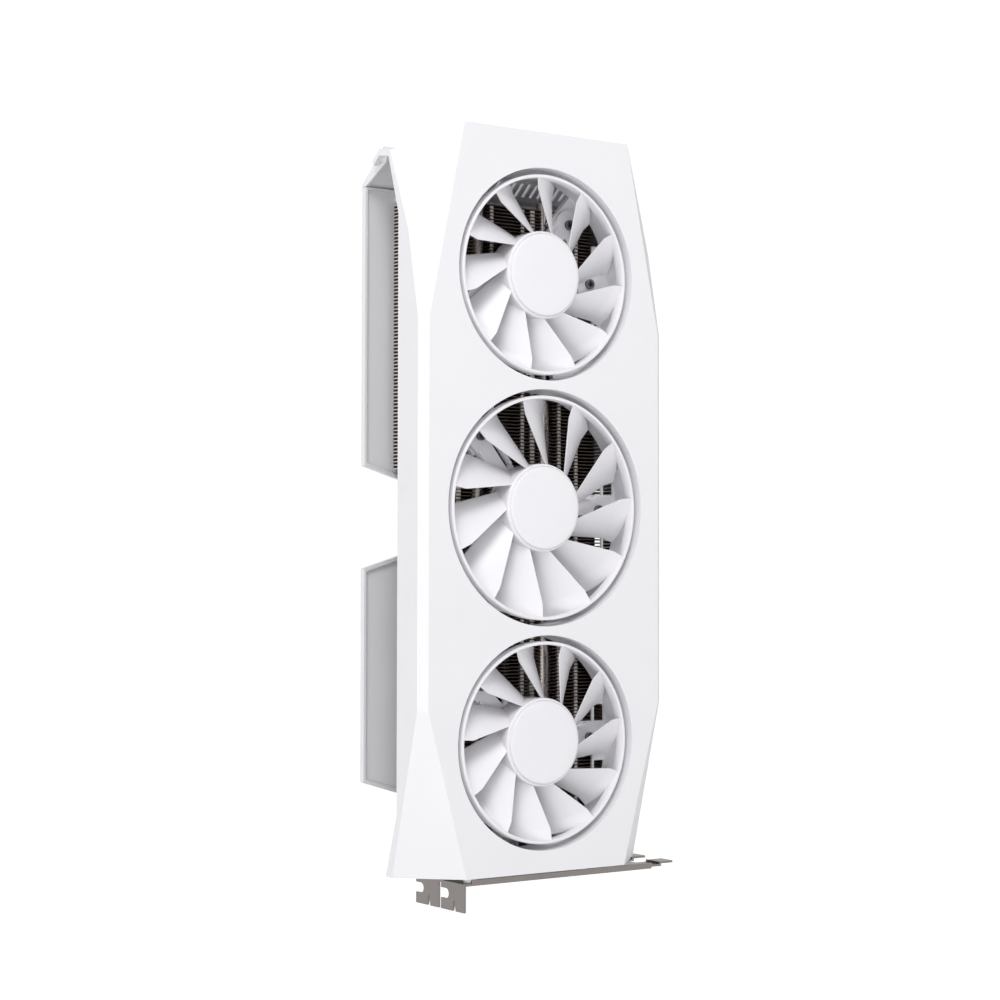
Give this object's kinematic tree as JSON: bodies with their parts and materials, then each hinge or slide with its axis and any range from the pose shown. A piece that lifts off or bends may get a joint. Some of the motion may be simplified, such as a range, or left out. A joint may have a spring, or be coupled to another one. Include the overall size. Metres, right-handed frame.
{
  "type": "graphics card",
  "caption": "Long white graphics card with faceted shroud, ring-bladed fans, finned heatsink, heat pipes, backplate with a power cable cut-out and a double-width slot bracket.",
  "frame": {"origin": "on the outer face of the slot bracket, on the fans centre line in X and in the mid-plane of the circuit board in Y; the bracket is what holds the card", "axes": "+Z along the card from the bracket to the far end, -Y towards the fan side, +Y towards the backplate, +X towards the edge connector"},
  "size_m": [0.15, 0.055, 0.3414],
  "materials": {
    "white_plastic": "fine satin moulding",
    "fan_plastic": "satin moulding",
    "white_paint": "satin powder coat",
    "black_steel": "matt black",
    "screw_steel": "plain machined",
    "screw_black": "black oxide",
    "brass": "turned",
    "board": "black solder mask",
    "gold": "hard gold plate",
    "laminate": "green laminate",
    "silicon": "polished silicon",
    "chip": "moulded epoxy",
    "pad": "soft thermal pad",
    "ferrite": "pressed ferrite",
    "can": "drawn can",
    "black_plastic": "fine texture",
    "pin": "tin plate",
    "ivory": "plain",
    "copper": "copper, machined",
    "aluminium": "mill finish",
    "fin": "stamped sheet",
    "pipe": "nickel plated copper",
    "bracket": "brushed stainless",
    "shell": "nickel plate",
    "bronze": "sintered bronze",
    "winding": "enamelled copper on steel",
    "magnet": "bonded ferrite",
    "shaft": "ground steel"
  },
  "bodies": {
    "card": {"shroud": "white_plastic", "end_cap": "white_plastic", "backplate": "white_paint", "backplate_screws": "screw_steel", "retention_bracket": "black_steel", "retention_screws": "screw_steel", "board_standoffs": "brass", "circuit_board": "board", "edge_contacts": "gold", "gpu_package": "laminate", "gpu_die": "silicon", "memory_chips": "chip", "thermal_pads": "pad", "power_stages": "chip", "inductors": "ferrite", "capacitors": "can", "power_sockets": "black_plastic", "power_pins": "pin", "fan_header": "ivory", "cold_plate": "copper", "base_plate": "aluminium", "fin_stack_lower": "fin", "fin_stack_middle": "fin", "fin_stack_upper": "fin", "heat_pipes_u": "pipe", "heat_pipes_straight": "pipe", "io_bracket": "bracket", "bracket_screws": "screw_steel", "hdmi_socket": "shell", "displayport_sockets": "shell", "socket_tongues": "black_plastic", "fan_frame_lower": "fan_plastic", "fan_frame_middle": "fan_plastic", "fan_frame_upper": "fan_plastic", "fan_frame_screws": "screw_black", "fan_bearing_lower": "bronze", "fan_bearing_middle": "bronze", "fan_bearing_upper": "bronze", "fan_stator_lower": "winding", "fan_stator_middle": "winding", "fan_stator_upper": "winding"},
    "fan_lower": {"fan_rotor_lower": "fan_plastic", "fan_magnet_lower": "magnet", "fan_shaft_lower": "shaft"},
    "fan_middle": {"fan_rotor_middle": "fan_plastic", "fan_magnet_middle": "magnet", "fan_shaft_middle": "shaft"},
    "fan_upper": {"fan_rotor_upper": "fan_plastic", "fan_magnet_upper": "magnet", "fan_shaft_upper": "shaft"}
  },
  "joints": [
    {"name": "fan_lower_spin", "type": "hinge", "parent": "card", "child": "fan_lower", "pos_m": [0, -0.03, 0.0614], "axis": [0, -1, 0], "continuous": true},
    {"name": "fan_middle_spin", "type": "hinge", "parent": "card", "child": "fan_middle", "pos_m": [0, -0.03, 0.1644], "axis": [0, -1, 0], "continuous": true},
    {"name": "fan_upper_spin", "type": "hinge", "parent": "card", "child": "fan_upper", "pos_m": [0, -0.03, 0.2674], "axis": [0, -1, 0], "continuous": true}
  ]
}
